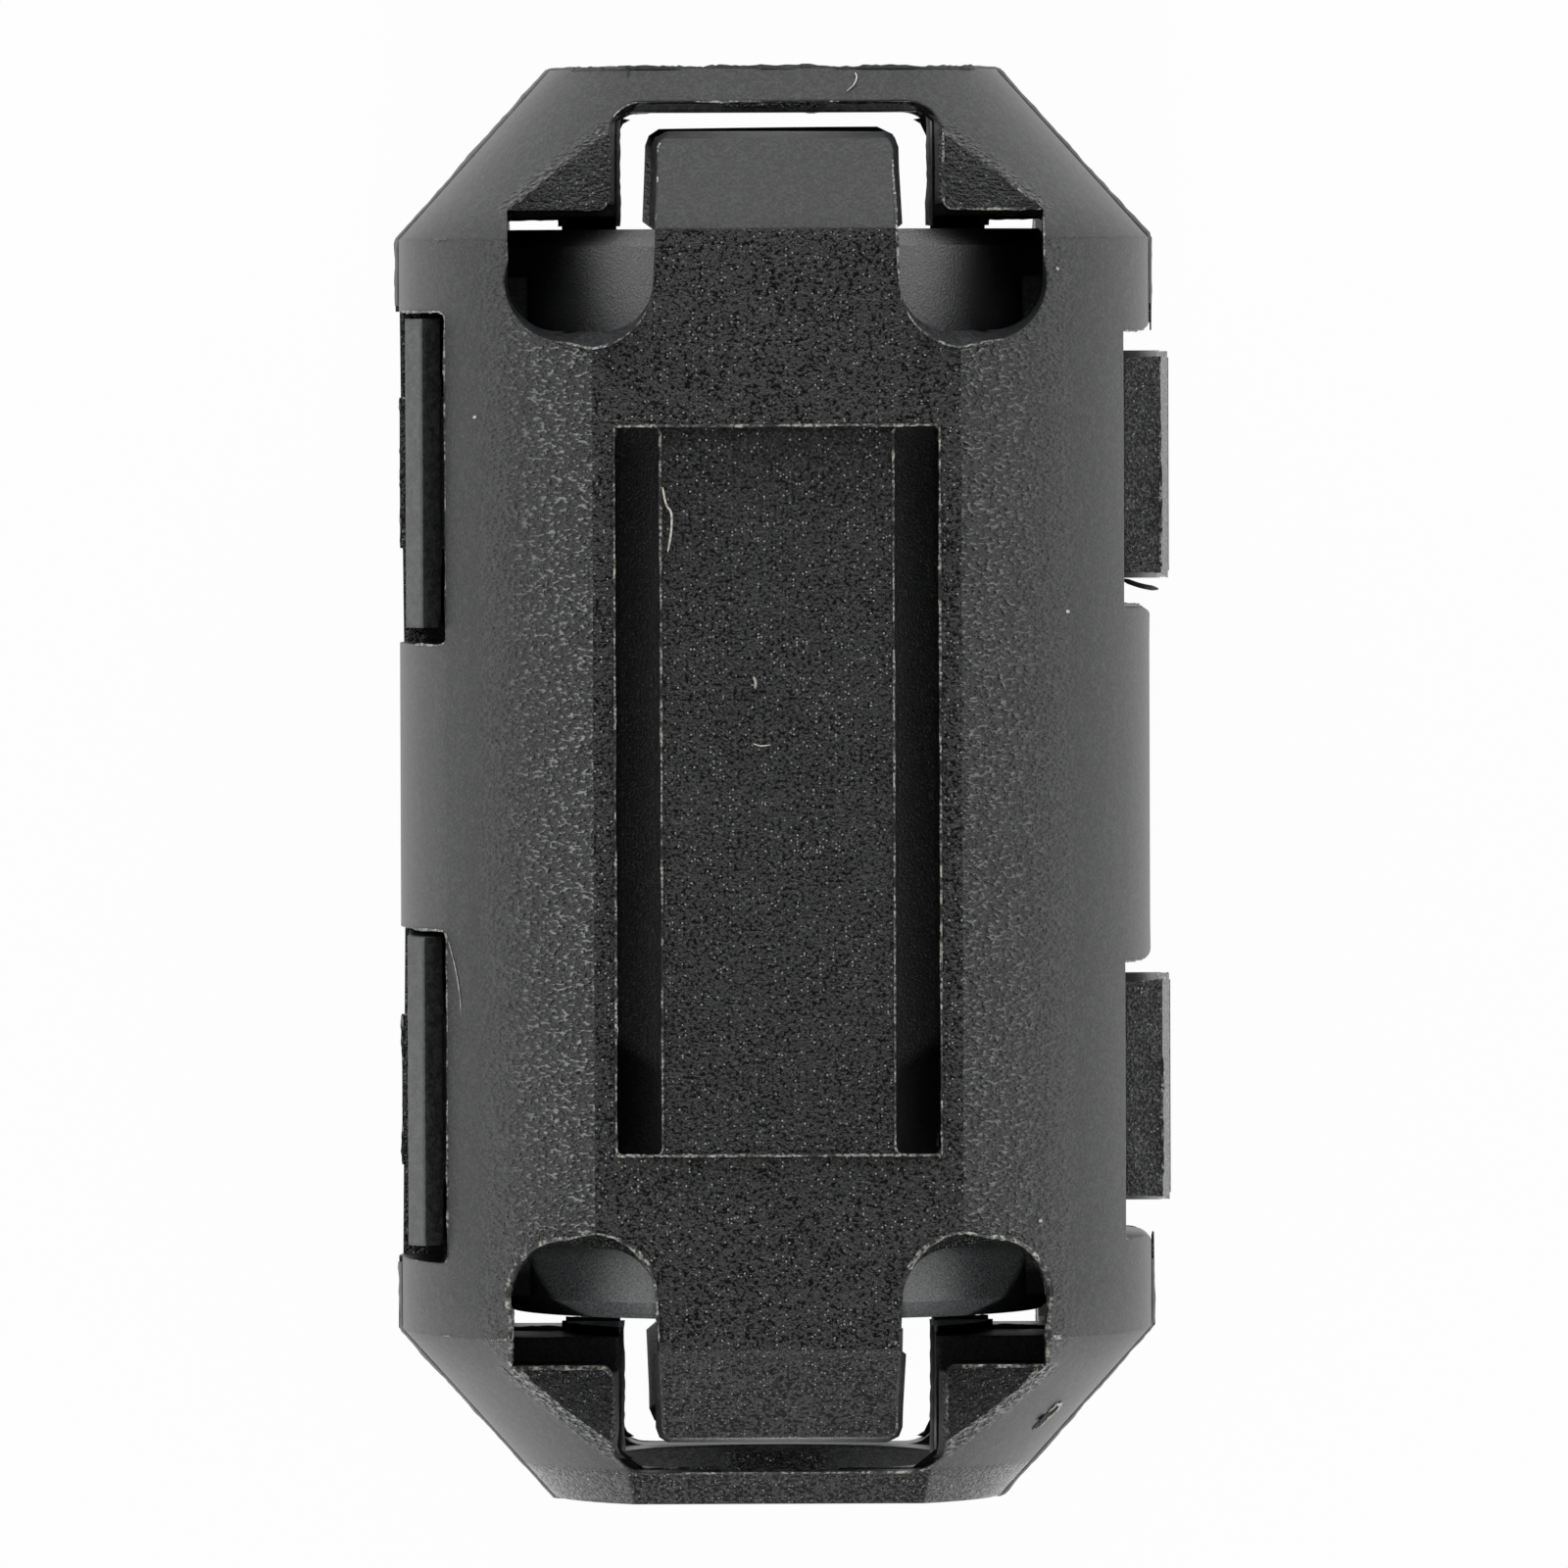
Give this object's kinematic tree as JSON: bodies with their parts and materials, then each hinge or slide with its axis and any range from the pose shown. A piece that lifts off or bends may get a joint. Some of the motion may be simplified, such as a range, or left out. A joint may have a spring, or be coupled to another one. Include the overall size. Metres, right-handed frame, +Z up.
{
  "type": "clip-on ferrite bead",
  "caption": "Openable ferrite cable bead: rounded nylon housing with tapered ends, hinged along one side and latched along the other, holding two half cores round a bore.",
  "frame": {"origin": "on the cable bore's axis, at the middle of the housing's length, in the plane where the halves part", "axes": "+Y along the cable bore, +X towards the hinges, +Z up through the upper half's flat"},
  "size_m": [0.0163, 0.03, 0.0138],
  "materials": {
    "nylon": "fine spark-eroded texture",
    "ferrite": "dull ground ceramic"
  },
  "bodies": {
    "lower_half": {"lower_shell": "nylon", "lower_core": "ferrite", "front_hinge_film": "nylon", "rear_hinge_film": "nylon"},
    "upper_half": {"upper_shell": "nylon", "upper_core": "ferrite"},
    "front_latch": {"front_latch": "nylon"},
    "rear_latch": {"rear_latch": "nylon"}
  },
  "joints": [
    {"name": "hinge", "type": "hinge", "parent": "lower_half", "child": "upper_half", "pos_m": [0.00831, 0, 0], "axis": [0, 1, 0], "range_deg": [0, 180], "deforming": ["front_hinge_film", "rear_hinge_film"]},
    {"name": "front_latch_flex", "type": "hinge", "parent": "lower_half", "child": "front_latch", "pos_m": [-0.00773, -0.00635, -0.0011], "axis": [0, -1, 0], "range_deg": [0, 16], "stiffness_Nm_per_rad": 0.15},
    {"name": "rear_latch_flex", "type": "hinge", "parent": "lower_half", "child": "rear_latch", "pos_m": [-0.00773, 0.00657, -0.0011], "axis": [0, -1, 0], "range_deg": [0, 16], "stiffness_Nm_per_rad": 0.15}
  ]
}
